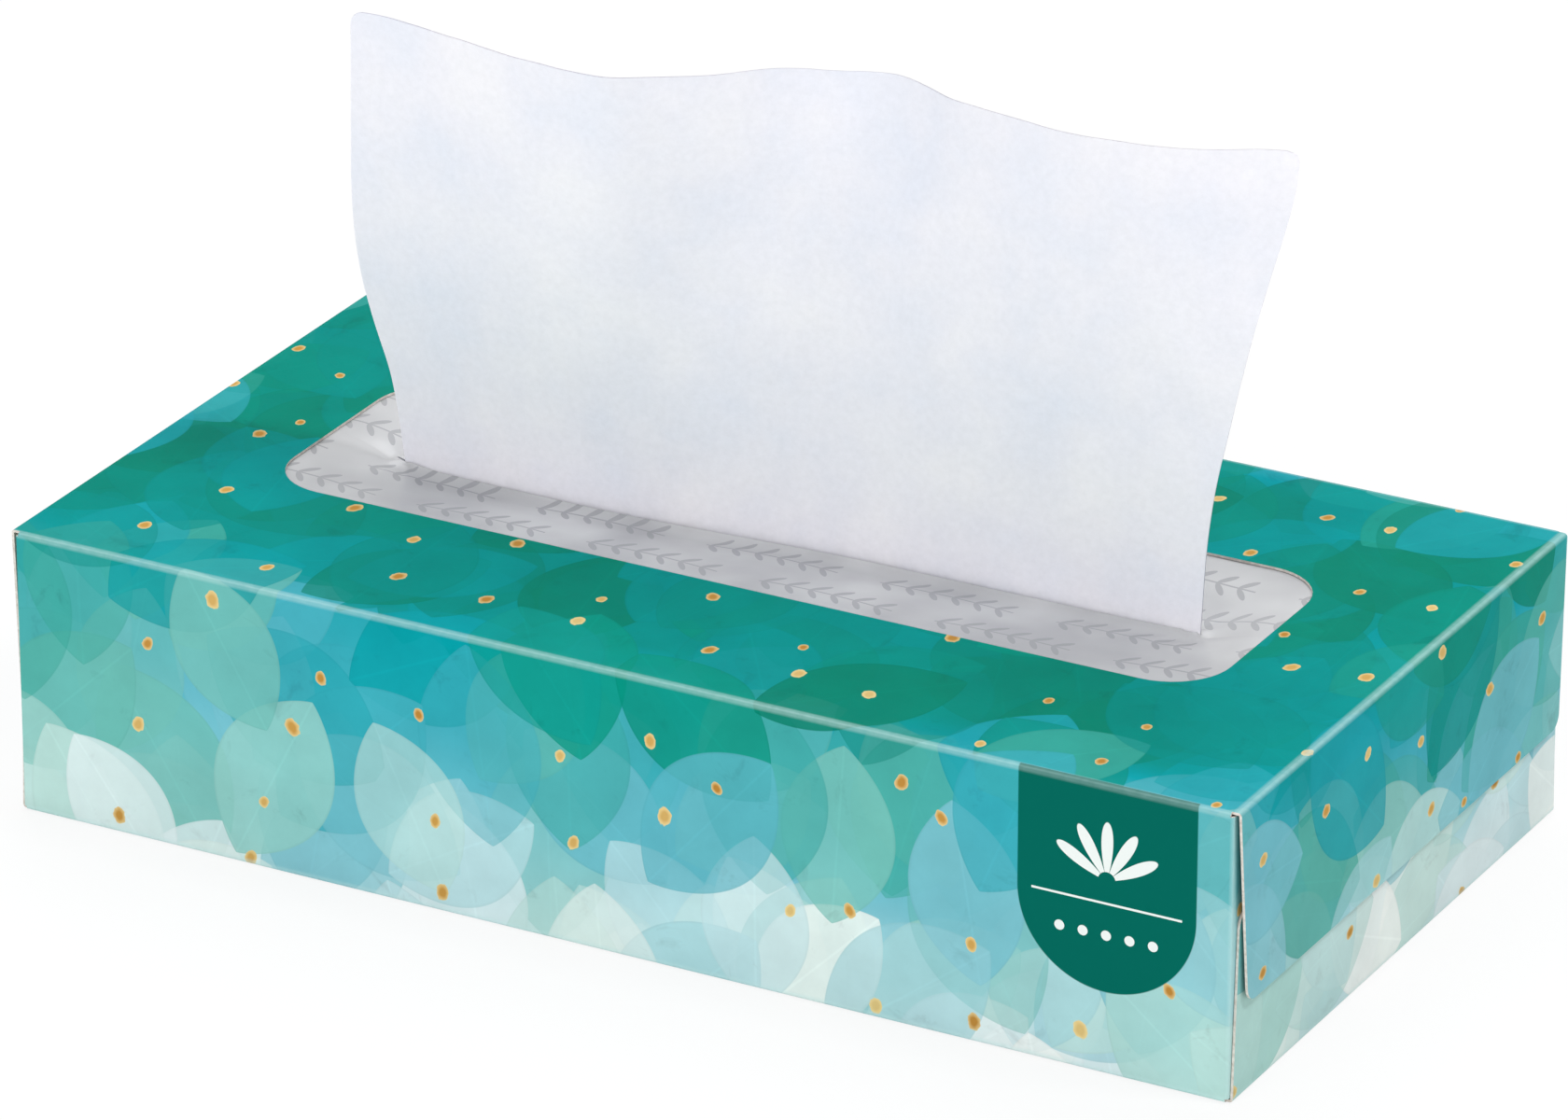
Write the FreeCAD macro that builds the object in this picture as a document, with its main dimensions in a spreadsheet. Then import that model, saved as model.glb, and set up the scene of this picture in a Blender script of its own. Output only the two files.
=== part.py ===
"""Flat carton of facial tissues, in millimetres.

The carton is one creased and folded sheet of board. It lies on its large face, with its length along X, its
front at -Y and its mouth in the top. A slit film closes the mouth from below, the tissues lie inside as one
clip, and the leading sheet stands up through the slit. The origin is in the middle of the underside.
"""

import FreeCAD, Part
import os
import re
import Sketcher

DRIVING = {
    # The carton, measured over its outer faces.
    "length": 230,
    "width": 125,
    "height": 51.5,
    # The board, the outer radius of its creases, and the glue line between layers.
    "board": 0.45,
    "crease_radius": 1.2,
    "glue_gap": 0.08,
    # End flaps and the side glue tab. A taper is what each side edge draws in by the free edge.
    "outer_flap_depth": 34.5,
    "lower_flap_depth": 33,
    "flap_taper": 3.8,
    "flap_corner": 2.5,
    "dust_flap_depth": 42,
    "dust_flap_taper": 4,
    "dust_flap_play": 0.5,
    "glue_tab_depth": 12,
    # The mouth in the top panel, by the board left around it. It sits a little behind the middle.
    "mouth_end_margin": 26,
    "mouth_side_margin": 37.5,
    "mouth_shift": 1,
    "mouth_corner": 11,
    # The film under the mouth, and the slit in it.
    "film_thickness": 0.2,
    "film_margin": 12,
    "film_corner": 4,
    "film_sag": 2,
    "slit_inset": 11.5,
    "slit_gap": 2.2,
    # The stacked sheets, by the room left for them in the carton.
    "end_room": 7,
    "side_room": 9.5,
    "lip_room": 6.3,
    "leaf_bulge": 0.4,
    # A sheet, the air between two lying sheets, and how it lies under the film.
    "ply": 0.5,
    "sheet_gap": 0.12,
    "slit_play": 1,
    "neck_bend": 1.4,
    "turn_reach": 33,
    "tail_inset": 2,
    # The standing sheet: its rise above the lips and how far its side edges flare beyond the slit.
    "sheet_rise": 84.6,
    "flare_left_mid": 6.5,
    "flare_left_top": 3,
    "flare_right_mid": 5,
    "flare_right_top": 10.5,
    # How far the top edge waves behind the slit, from its left corner to its right one.
    "wave_left_corner": -9,
    "wave_left_dip": -15.5,
    "wave_crest": 9.2,
    "wave_right_dip": 0.3,
    "wave_right_corner": 12.3,
}

# What follows from the driving sizes. Each name may use those above it.
DERIVED = {
    "half_width": "width / 2",
    "layer": "board + glue_gap",
    "outer_face": "length / 2",
    "lower_face": "outer_face - layer",
    "dust_face": "lower_face - layer",
    "tube_end": "dust_face - crease_radius",
    "tab_face": "half_width - layer",
    "crease_start": "half_width - crease_radius",
    "lower_crease_start": "crease_start - layer",
    "panel_underside": "height - board",
    "mouth_length": "length - 2 * mouth_end_margin",
    "mouth_width": "width - 2 * mouth_side_margin",
    "lip_top": "panel_underside - film_sag",
    "lip_underside": "lip_top - film_thickness",
    "slit_length": "mouth_length - 2 * slit_inset",
    "stack_top": "lip_underside - lip_room",
    "stack_height": "stack_top - board",
    "stack_length": "2 * (dust_face - board - end_room)",
    "stack_half_width": "tab_face - board - side_room",
    "sheet_pitch": "ply + sheet_gap",
    "tail_underside": "stack_top + sheet_pitch",
    "next_upper_underside": "stack_top + 2 * sheet_pitch",
    "upper_underside": "stack_top + 3 * sheet_pitch",
    "turn_radius": "sheet_pitch + ply / 2",
    "neck_half_length": "slit_length / 2 - slit_play",
}

# The folded edges that show on each long side of the stack.
LEAVES = 12
# Where the waves of the top edge lie along it, from the left corner to the right one.
WAVE_PLACES = {
    "wave_left_corner": 0.0,
    "wave_left_dip": 0.25,
    "wave_crest": 0.56,
    "wave_right_dip": 0.79,
    "wave_right_corner": 1.0,
}
# The waves have half their depth midway up the standing sheet, and none in the slit.
MID_WAVE = 0.5

document = FreeCAD.newDocument("tissue_carton")


def make_sizes():
    sheet = document.addObject("Spreadsheet::Sheet", "dims")
    for row, (name, value) in enumerate(DRIVING.items(), start=1):
        sheet.set(f"A{row}", str(value))
        sheet.setAlias(f"A{row}", name)
    document.recompute()
    fits = document.addObject("App::VarSet", "fits")
    for name, formula in DERIVED.items():
        fits.addProperty("App::PropertyFloat", name)
        fits.setExpression(name, bound(formula))
    document.recompute()
    return sheet, fits


def bound(formula):
    """The formula with each size's name led by the object that holds it."""

    def owner(match):
        name = match.group(0)
        if name in DRIVING:
            return f"dims.{name}"
        if name in DERIVED:
            return f"fits.{name}"
        return name

    return re.sub(r"[a-z_]+", owner, str(formula))


def value(formula):
    return float(sizes.evalExpression(bound(formula)))


def make_sketch(body, name, plane, corners, offset="0"):
    """A closed outline on one of the body's origin planes, moved along its normal by offset.

    A corner is (x, y), or (x, y, arc centre's x, "left" or "right") where an arc leaves it with that turn.
    """
    sketch = body.newObject("Sketcher::SketchObject", name)
    base = next(f for f in body.Origin.OriginFeatures if f.Role == plane)
    sketch.AttachmentSupport = [(base, "")]
    sketch.MapMode = "FlatFace"
    sketch.setExpression("AttachmentOffset.Base.z", bound(offset))
    ends = [add_edge(sketch, corners, index) for index in range(len(corners))]
    for index, corner in enumerate(corners):
        edge, start = index, ends[index][0]
        before = (index - 1) % len(corners)
        sketch.addConstraint(Sketcher.Constraint("Coincident", before, ends[before][1], edge, start))
        lock(sketch, "X", edge, start, corner[0])
        lock(sketch, "Y", edge, start, corner[1])
        if len(corner) > 2:
            lock(sketch, "X", edge, CENTRE, corner[2])
    document.recompute()
    return sketch


# The points of an edge in a sketch.
START = 1
END = 2
CENTRE = 3


def add_edge(sketch, corners, index):
    """Adds the edge that leaves a corner, and returns which of its ends comes first and last."""
    corner = corners[index]
    following = corners[(index + 1) % len(corners)]
    first = FreeCAD.Vector(value(corner[0]), value(corner[1]), 0)
    last = FreeCAD.Vector(value(following[0]), value(following[1]), 0)
    if len(corner) == 2:
        sketch.addGeometry(Part.LineSegment(first, last), False)
        return START, END
    centre_x = value(corner[2])
    rise = (first.x - centre_x) ** 2 - (last.x - centre_x) ** 2 + first.y**2 - last.y**2
    centre = FreeCAD.Vector(centre_x, rise / (2 * (first.y - last.y)), 0)
    circle = Part.Circle(centre, FreeCAD.Vector(0, 0, 1), first.distanceToPoint(centre))
    if corner[3] == "left":
        sketch.addGeometry(Part.ArcOfCircle(circle, circle.parameter(first), circle.parameter(last)), False)
        return START, END
    sketch.addGeometry(Part.ArcOfCircle(circle, circle.parameter(last), circle.parameter(first)), False)
    return END, START


def lock(sketch, axis, edge, point, formula):
    index = sketch.addConstraint(Sketcher.Constraint(f"Distance{axis}", edge, point, value(formula)))
    name = f"{axis.lower()}_{index}"
    sketch.renameConstraint(index, name)
    sketch.setExpression(f"Constraints.{name}", bound(formula))


def rounded_box(middle_y, half_length, half_width, corner):
    """Corners of a rectangle with round corners, long along X and centred at X 0."""
    right, left = f"({half_length})", f"-({half_length})"
    rear, front = f"({middle_y} + {half_width})", f"({middle_y} - ({half_width}))"
    return [
        (f"{left} + {corner}", front),
        (f"{right} - {corner}", front, f"{right} - {corner}", "left"),
        (right, f"{front} + {corner}"),
        (right, f"{rear} - {corner}", f"{right} - {corner}", "left"),
        (f"{right} - {corner}", rear),
        (f"{left} + {corner}", rear, f"{left} + {corner}", "left"),
        (left, f"{rear} - {corner}"),
        (left, f"{front} + {corner}", f"{left} + {corner}", "left"),
    ]


def pad(body, name, sketch, length, side="One side", reverse=False):
    feature = body.newObject("PartDesign::Pad", name)
    feature.Profile = sketch
    feature.SideType = side
    feature.Reversed = reverse
    feature.setExpression("Length", bound(length))
    document.recompute()
    return feature


def pocket(body, name, sketch, depth):
    """Cuts against the sketch's normal, and stops if nothing was cut."""
    before = body.Shape.Volume
    feature = body.newObject("PartDesign::Pocket", name)
    feature.Profile = sketch
    feature.setExpression("Length", bound(depth))
    document.recompute()
    if not body.Shape.Volume < before:
        raise RuntimeError(f"{name} cuts nothing")
    return feature


def loft(body, kind, name, first, last):
    feature = body.newObject(f"PartDesign::{kind}Loft", name)
    feature.Profile = first
    feature.Sections = [last]
    feature.Ruled = True
    document.recompute()
    return feature


def make_carton():
    """One blank of board, folded into a tube, glued at the side tab and closed by four flaps at each end."""
    body = document.addObject("PartDesign::Body", "carton")
    tube = make_sketch(body, "tube_section", "YZ_Plane", tube_section())
    pad(body, "tube", tube, "2 * tube_end", "Symmetric")
    mouth = rounded_box("mouth_shift", "mouth_length / 2", "mouth_width / 2", "mouth_corner")
    pocket(body, "mouth", make_sketch(body, "mouth_outline", "XY_Plane", mouth, "height"), "2 * board")
    flaps = dust_flap(body, "front", "-1") + dust_flap(body, "rear", "1")
    flaps += lower_flap(body) + outer_flap(body)
    other_end = body.newObject("PartDesign::Mirrored", "other_end")
    other_end.Originals = flaps
    other_end.MirrorPlane = (next(f for f in body.Origin.OriginFeatures if f.Role == "YZ_Plane"), [""])
    body.Tip = other_end
    document.recompute()
    return body


def tube_section():
    """The folded board seen from its end, from the rear panel's cut edge round to the glue tab inside it."""
    low = "crease_radius"
    high = "height - crease_radius"
    rear, front = "crease_start", "-crease_start"
    return [
        ("half_width", "glue_gap"),
        ("half_width", high, rear, "left"),
        (rear, "height"),
        (front, "height", front, "left"),
        ("-half_width", high),
        ("-half_width", low, front, "left"),
        (front, "0"),
        ("lower_crease_start", "0", "lower_crease_start", "left"),
        ("tab_face", low),
        ("tab_face", "glue_tab_depth"),
        ("tab_face - board", "glue_tab_depth"),
        ("tab_face - board", low, "lower_crease_start", "right"),
        ("lower_crease_start", "board"),
        (front, "board", front, "right"),
        ("board - half_width", low),
        ("board - half_width", high, front, "right"),
        (front, "panel_underside"),
        (rear, "panel_underside", rear, "right"),
        ("half_width - board", high),
        ("half_width - board", "glue_gap"),
    ]


def outer_flap(body):
    """The top panel's flap, folded down over the others."""
    bend = [
        ("tube_end", "height"),
        ("outer_face - crease_radius", "height", "outer_face - crease_radius", "right"),
        ("outer_face", "height - crease_radius"),
        ("outer_face - board", "height - crease_radius", "outer_face - crease_radius", "left"),
        ("outer_face - crease_radius", "panel_underside"),
        ("tube_end", "panel_underside"),
    ]
    crease = make_sketch(body, "outer_crease_section", "XZ_Plane", bend)
    fold = pad(body, "outer_crease", crease, "2 * crease_start", "Symmetric")
    free_edge = "height - outer_flap_depth"
    draw_in = "crease_start - flap_taper"
    panel = [
        ("crease_start", "height - crease_radius"),
        ("-crease_start", "height - crease_radius"),
        (f"-({draw_in})", f"{free_edge} + flap_corner", f"flap_corner - ({draw_in})", "left"),
        (f"flap_corner - ({draw_in})", free_edge),
        (f"{draw_in} - flap_corner", free_edge, f"{draw_in} - flap_corner", "left"),
        (draw_in, f"{free_edge} + flap_corner"),
    ]
    outline = make_sketch(body, "outer_flap_outline", "YZ_Plane", panel, "outer_face")
    return [fold, pad(body, "outer_flap", outline, "board", reverse=True)]


def lower_flap(body):
    """The bottom panel's flap, folded up under the outer one."""
    bend = [
        ("tube_end", "board"),
        ("lower_face - crease_radius", "board", "lower_face - crease_radius", "left"),
        ("lower_face - board", "crease_radius"),
        ("lower_face", "crease_radius", "lower_face - crease_radius", "right"),
        ("lower_face - crease_radius", "0"),
        ("tube_end", "0"),
    ]
    crease = make_sketch(body, "lower_crease_section", "XZ_Plane", bend)
    fold = pad(body, "lower_crease", crease, "2 * lower_crease_start", "Symmetric")
    draw_in = "lower_crease_start - flap_taper"
    panel = [
        ("lower_crease_start", "crease_radius"),
        (draw_in, "lower_flap_depth - flap_corner", f"{draw_in} - flap_corner", "left"),
        (f"{draw_in} - flap_corner", "lower_flap_depth"),
        (f"flap_corner - ({draw_in})", "lower_flap_depth", f"flap_corner - ({draw_in})", "left"),
        (f"-({draw_in})", "lower_flap_depth - flap_corner"),
        ("-lower_crease_start", "crease_radius"),
    ]
    outline = make_sketch(body, "lower_flap_outline", "YZ_Plane", panel, "lower_face")
    return [fold, pad(body, "lower_flap", outline, "board", reverse=True)]


def dust_flap(body, panel_name, side):
    """An inner flap of the front (side -1) or rear (side 1) panel, folded across the end."""
    wall = f"{side} * half_width"
    start = f"{side} * crease_start"
    turn, back = ("left", "right") if side == "-1" else ("right", "left")
    bend = [
        ("tube_end", wall, "tube_end", turn),
        ("dust_face", start),
        ("dust_face - board", start, "tube_end", back),
        ("tube_end", f"{wall} - {side} * board"),
    ]
    crease = make_sketch(body, f"{panel_name}_dust_section", "XY_Plane", bend, "height / 2")
    tall = "height / 2 - crease_radius - dust_flap_play"
    fold = pad(body, f"{panel_name}_dust_crease", crease, f"2 * ({tall})", "Symmetric")
    free_edge = f"{side} * (half_width - dust_flap_depth)"
    panel = [
        (start, f"height / 2 - ({tall})"),
        (free_edge, f"height / 2 - ({tall} - dust_flap_taper)"),
        (free_edge, f"height / 2 + ({tall} - dust_flap_taper)"),
        (start, f"height / 2 + ({tall})"),
    ]
    outline = make_sketch(body, f"{panel_name}_dust_outline", "YZ_Plane", panel, "dust_face")
    return [fold, pad(body, f"{panel_name}_dust_flap", outline, "board", reverse=True)]


def make_window_film():
    """A film glued flat under the top panel, which sags from the mouth's edge to the lips of its slit."""
    body = document.addObject("PartDesign::Body", "window_film")
    sheet = rounded_box(
        "mouth_shift", "(mouth_length / 2 + film_margin)", "(mouth_width / 2 + film_margin)", "film_corner"
    )
    mouth = rounded_box("mouth_shift", "mouth_length / 2", "mouth_width / 2", "mouth_corner")
    lips = rounded_box("mouth_shift", "slit_length / 2", "slit_gap / 2", "0.45 * slit_gap")
    underside = "panel_underside - film_thickness"
    margin = make_sketch(body, "film_outline", "XY_Plane", sheet, underside)
    pad(body, "glued_margin", margin, "film_thickness")
    lower_mouth = make_sketch(body, "lower_mouth", "XY_Plane", mouth, underside)
    lower_lips = make_sketch(body, "lower_lips", "XY_Plane", lips, "lip_underside")
    loft(body, "Additive", "sagging_film", lower_mouth, lower_lips)
    upper_mouth = make_sketch(body, "upper_mouth", "XY_Plane", mouth, "panel_underside")
    upper_lips = make_sketch(body, "upper_lips", "XY_Plane", lips, "lip_top")
    loft(body, "Subtractive", "hollow", upper_mouth, upper_lips)
    slit = make_sketch(body, "slit_outline", "XY_Plane", lips, "lip_top")
    pocket(body, "slit", slit, "2 * film_thickness")
    return body


def make_tissue_stack():
    """The interfolded sheets as one clip, with their folded edges bulging along both long sides."""
    body = document.addObject("PartDesign::Body", "tissue_stack")
    leaf = f"stack_height / {LEAVES}"
    bulge_radius = f"(({leaf})^2 / 4 + leaf_bulge^2) / (2 * leaf_bulge)"
    side = "stack_half_width - leaf_bulge"
    section = []
    for index in range(LEAVES):
        section.append((side, f"board + {index} * {leaf}", f"stack_half_width - {bulge_radius}", "left"))
    section.append((side, "stack_top"))
    for index in range(LEAVES, 0, -1):
        section.append((f"-({side})", f"board + {index} * {leaf}", f"{bulge_radius} - stack_half_width", "left"))
    section.append((f"-({side})", "board"))
    pad(body, "clip", make_sketch(body, "clip_section", "YZ_Plane", section), "stack_length", "Symmetric")
    return body


def make_next_tissue():
    """The following sheet, folded once at the rear round the raised sheet's tail."""
    body = document.addObject("PartDesign::Body", "next_tissue")
    turn = "stack_half_width - turn_radius"
    lower_edge = "-stack_half_width"
    upper_edge = "turn_radius + sheet_gap - turn_reach"
    upper = "next_upper_underside"
    section = [
        (lower_edge, "stack_top"),
        (turn, "stack_top", turn, "left"),
        (turn, f"{upper} + ply"),
        (upper_edge, f"{upper} + ply"),
        (upper_edge, upper),
        (turn, upper, turn, "right"),
        (turn, "stack_top + ply"),
        (lower_edge, "stack_top + ply"),
    ]
    pad(body, "folded_sheet", make_sketch(body, "folded_section", "YZ_Plane", section), "stack_length", "Symmetric")
    return body


def make_tail():
    """The raised sheet under the film: its neck in the slit, its turn at the front, and its lying tail."""
    body = document.addObject("PartDesign::Body", "tail")
    near, far = "mouth_shift - ply / 2", "mouth_shift + ply / 2"
    bend_y = f"{near} - neck_bend"
    bend_z = "upper_underside + ply + neck_bend"
    turn = "turn_radius - turn_reach"
    tail_edge = "stack_half_width - turn_radius - tail_inset"
    section = [
        (near, "lip_underside"),
        (near, bend_z, bend_y, "right"),
        (bend_y, "upper_underside + ply"),
        (turn, "upper_underside + ply", turn, "left"),
        (turn, "tail_underside"),
        (tail_edge, "tail_underside"),
        (tail_edge, "tail_underside + ply"),
        (turn, "tail_underside + ply", turn, "right"),
        (turn, "upper_underside"),
        (bend_y, "upper_underside", bend_y, "left"),
        (far, bend_z),
        (far, "lip_underside"),
    ]
    pad(body, "sheet", make_sketch(body, "tail_section", "YZ_Plane", section), "stack_length", "Symmetric")
    for name, side in (("left", "-1"), ("right", "1")):
        edge = f"{side} * neck_half_length"
        beyond = f"{side} * stack_length"
        clear = [(edge, f"{far} + ply"), (edge, near), (f"{side} * stack_length / 2", turn)]
        clear += [(beyond, turn), (beyond, f"{far} + ply")]
        outline = make_sketch(body, f"{name}_fan_outline", "XY_Plane", clear, "lip_underside + ply")
        pocket(body, f"{name}_fan", outline, "lip_underside + ply - upper_underside + sheet_gap / 2")
    return body


def standing_section(height_above, flare_left, flare_right, wave):
    """The standing sheet cut level: a thin strip that waves along the slit."""
    left = value(f"-neck_half_length - {flare_left}")
    right = value(f"neck_half_length + {flare_right}")
    level = value(f"lip_underside + {height_above}")
    edges = []
    for face in ("-ply / 2", "ply / 2"):
        points = []
        for name, place in WAVE_PLACES.items():
            depth = value(f"mouth_shift + {face} + {wave} * {name}")
            points.append(FreeCAD.Vector(left + place * (right - left), depth, level))
        curve = Part.BSplineCurve()
        curve.interpolate(points)
        edges.append(curve)
    near, far = edges
    right_edge = Part.makeLine(near.EndPoint, far.EndPoint)
    left_edge = Part.makeLine(far.StartPoint, near.StartPoint)
    return Part.Wire([near.toShape(), right_edge, far.toShape(), left_edge])


def make_raised_tissue():
    """The leading sheet. It stands straight in the slit, fans out above it and waves along its top edge."""
    standing = document.addObject("Part::Feature", "standing")
    standing.Shape = Part.makeLoft(
        [
            standing_section("0", "0", "0", 0),
            standing_section("sheet_rise / 2", "flare_left_mid", "flare_right_mid", MID_WAVE),
            standing_section("sheet_rise", "flare_left_top", "flare_right_top", 1),
        ],
        True,
        False,
    )
    sheet = document.addObject("Part::Fuse", "raised_tissue")
    sheet.Base = make_tail()
    sheet.Tool = standing
    document.recompute()
    return sheet


def check(sub_parts):
    for item in document.Objects:
        if "Invalid" in item.State or "Error" in item.State:
            raise RuntimeError(f"{item.Name} failed: {item.State}")
    for item in sub_parts:
        if item.Shape.isNull() or not item.Shape.isValid() or len(item.Shape.Solids) != 1:
            raise RuntimeError(f"{item.Label} is not one valid solid")


def write(sub_parts):
    os.makedirs("parts", exist_ok=True)
    for item in sub_parts:
        item.Shape.exportStep(f"parts/{item.Label}.step")
        box = item.Shape.BoundBox
        print(f"{item.Label}: {item.Shape.Volume:.0f} mm3, z {box.ZMin:.2f} to {box.ZMax:.2f}")


sizes, fits = make_sizes()
parts = [make_carton(), make_window_film(), make_tissue_stack(), make_next_tissue(), make_raised_tissue()]
for part in parts:
    part.Placement = FreeCAD.Placement(FreeCAD.Vector(0, 0, 0), FreeCAD.Rotation(0, 0, 0))
document.recompute()
check(parts)
write(parts)
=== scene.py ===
"""Looks of a flat tissue box: a folded printed carton, its slit film window and the tissues. Metres."""

import math
import random

import bmesh
import bpy
from mathutils import Euler, Matrix, Vector, noise


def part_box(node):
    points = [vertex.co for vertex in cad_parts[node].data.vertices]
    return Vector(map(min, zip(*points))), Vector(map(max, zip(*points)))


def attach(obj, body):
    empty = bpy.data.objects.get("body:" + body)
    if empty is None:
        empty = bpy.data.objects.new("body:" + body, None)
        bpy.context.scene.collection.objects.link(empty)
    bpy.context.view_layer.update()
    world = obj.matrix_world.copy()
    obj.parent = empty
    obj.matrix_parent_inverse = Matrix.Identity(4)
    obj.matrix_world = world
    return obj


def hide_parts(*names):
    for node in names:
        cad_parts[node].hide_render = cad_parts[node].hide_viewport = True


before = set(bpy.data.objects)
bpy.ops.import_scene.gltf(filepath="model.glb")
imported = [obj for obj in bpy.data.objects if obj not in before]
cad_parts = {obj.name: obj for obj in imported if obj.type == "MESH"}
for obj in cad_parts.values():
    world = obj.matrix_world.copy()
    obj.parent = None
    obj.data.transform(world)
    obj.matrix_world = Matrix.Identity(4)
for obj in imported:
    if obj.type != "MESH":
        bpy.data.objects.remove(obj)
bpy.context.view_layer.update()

# Carton. One die-cut blank of coated folding boxboard, printed outside and bare inside. It is creased,
# folded into a tube round the tissues, glued at the side tab and closed by four glued flaps at each end.
# The blank is modelled flat, in the plane of the top panel, and then folded down crease by crease.
carton_low, carton_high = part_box("carton")
LENGTH = carton_high.x - carton_low.x
WIDTH = carton_high.y - carton_low.y
HEIGHT = carton_high.z - carton_low.z
BOARD = 0.00045
LAYER = 0.00053
GLUE_LINE = 0.00008
FOLD_RADIUS = 0.0006
FOLD_STRIP = 0.0007
TUBE_END = LENGTH / 2 - 2 * LAYER - FOLD_RADIUS
MOUTH_LENGTH = 0.178
MOUTH_WIDTH = 0.050
MOUTH_CORNER = 0.011
MOUTH_SHIFT = 0.001
FLAP_CORNER = 0.0025
FLAP_LIFT = math.radians(1.1)
TAB_DEPTH = 0.012
TAB_DRAW_IN = 0.004
TOUCH = 1e-5

# Where the creases lie on the flat blank, from the side tab to the rear panel's cut edge.
FRONT_CREASE = -WIDTH / 2
BOTTOM_CREASE = FRONT_CREASE - HEIGHT
TAB_CREASE = BOTTOM_CREASE - (WIDTH - LAYER)
REAR_CREASE = WIDTH / 2
REAR_EDGE = REAR_CREASE + HEIGHT - GLUE_LINE

# Each panel with flaps: its two long creases, the place of its end creases, and its flaps' depth and taper.
# The outer flap's free edge stands off the end a little.
FLAPPED_PANELS = (
    (FRONT_CREASE, REAR_CREASE, LENGTH / 2, 0.0345, 0.0025),
    (TAB_CREASE, BOTTOM_CREASE, LENGTH / 2 - LAYER, 0.033, 0.0014),
    (BOTTOM_CREASE, FRONT_CREASE, LENGTH / 2 - 2 * LAYER, 0.042, 0.004),
    (REAR_CREASE, REAR_EDGE, LENGTH / 2 - 2 * LAYER, 0.042, 0.004),
)


def pick(kind, test):
    """Selects the vertices, edges or faces of the mesh in edit mode whose middle passes the test."""
    bpy.ops.mesh.select_mode(type=kind)
    bpy.ops.mesh.select_all(action="DESELECT")
    shape = bmesh.from_edit_mesh(bpy.context.edit_object.data)
    items = {"VERT": shape.verts, "EDGE": shape.edges, "FACE": shape.faces}[kind]
    for item in items:
        corners = [item] if kind == "VERT" else list(item.verts)
        if test(sum((corner.co for corner in corners), Vector()) / len(corners)):
            item.select_set(True)
    bmesh.update_edit_mesh(bpy.context.edit_object.data)


def extend(move):
    """Extrudes the picked edges by a move within the flat sheet, and leaves the new edges picked."""
    bpy.ops.mesh.extrude_region_move(TRANSFORM_OT_translate={"value": move})


bpy.ops.object.select_all(action="DESELECT")
bpy.ops.mesh.primitive_plane_add(size=1, location=(0, MOUTH_SHIFT, HEIGHT))
carton = bpy.context.object
carton.name = "folded_carton"
bpy.ops.transform.resize(value=(MOUTH_LENGTH, MOUTH_WIDTH, 1))
bpy.ops.object.transform_apply(location=True, rotation=True, scale=True)
bpy.ops.object.mode_set(mode="EDIT")
bpy.ops.mesh.select_all(action="SELECT")
bpy.ops.mesh.bevel(offset=MOUTH_CORNER, segments=10, affect="VERTICES")
bpy.ops.mesh.delete(type="ONLY_FACE")
bpy.ops.mesh.select_all(action="DESELECT")
bpy.ops.mesh.primitive_plane_add(size=1, location=(0, 0, HEIGHT))
bpy.ops.transform.resize(value=(2 * TUBE_END, WIDTH, 1), center_override=(0, 0, HEIGHT))
bpy.ops.mesh.delete(type="ONLY_FACE")
bpy.ops.mesh.select_mode(type="EDGE")
bpy.ops.mesh.select_all(action="SELECT")
bpy.ops.mesh.bridge_edge_loops()

pick("EDGE", lambda middle: abs(middle.y - FRONT_CREASE) < TOUCH)
extend((0, BOTTOM_CREASE - FRONT_CREASE, 0))
extend((0, TAB_CREASE - BOTTOM_CREASE, 0))
extend((0, -TAB_DEPTH, 0))
bpy.ops.transform.resize(value=(1 - TAB_DRAW_IN / TUBE_END, 1, 1), center_override=(0, 0, HEIGHT))
pick("EDGE", lambda middle: abs(middle.y - REAR_CREASE) < TOUCH)
extend((0, REAR_EDGE - REAR_CREASE, 0))
for low, high, end_crease, depth, draw_in in FLAPPED_PANELS:
    for strip_edge in (low + FOLD_STRIP, high - FOLD_STRIP):
        bpy.ops.mesh.select_all(action="SELECT")
        bpy.ops.mesh.bisect(plane_co=(0, strip_edge, HEIGHT), plane_no=(0, 1, 0))
for low, high, end_crease, depth, draw_in in FLAPPED_PANELS:
    for end in (-1, 1):
        pick(
            "EDGE",
            lambda middle: abs(middle.x - end * TUBE_END) < TOUCH
            and low + FOLD_STRIP < middle.y < high - FOLD_STRIP,
        )
        extend((end * (end_crease - TUBE_END), 0, 0))
        extend((end * depth, 0, 0))
        half_width = (high - low) / 2 - FOLD_STRIP
        bpy.ops.transform.resize(
            value=(1, 1 - draw_in / half_width, 1), center_override=(0, (low + high) / 2, HEIGHT)
        )
        bpy.ops.mesh.select_mode(type="VERT")
        bpy.ops.mesh.bevel(offset=FLAP_CORNER, segments=5, affect="VERTICES")
pick("FACE", lambda middle: True)
bpy.ops.mesh.normals_make_consistent(inside=False)
bpy.ops.object.mode_set(mode="OBJECT")
if carton.data.polygons[0].normal.z < 0:
    carton.data.flip_normals()

# The flat blank is the print's own map, so that the print runs on over every crease.
flat = [vertex.co.copy() for vertex in carton.data.vertices]
carton.data.uv_layers[0].name = "blank"
for corner in carton.data.loops:
    carton.data.uv_layers["blank"].data[corner.index].uv = flat[corner.vertex_index].xy


def fold(axis, turn, hinge, test):
    """Turns what lies beyond a crease of the flat blank about that crease."""
    bpy.ops.mesh.select_mode(type="VERT")
    bpy.ops.mesh.select_all(action="DESELECT")
    shape = bmesh.from_edit_mesh(carton.data)
    for vertex in shape.verts:
        if test(flat[vertex.index]):
            vertex.select_set(True)
    bmesh.update_edit_mesh(carton.data)
    bpy.ops.transform.rotate(value=turn, orient_axis=axis, center_override=hinge)


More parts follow.
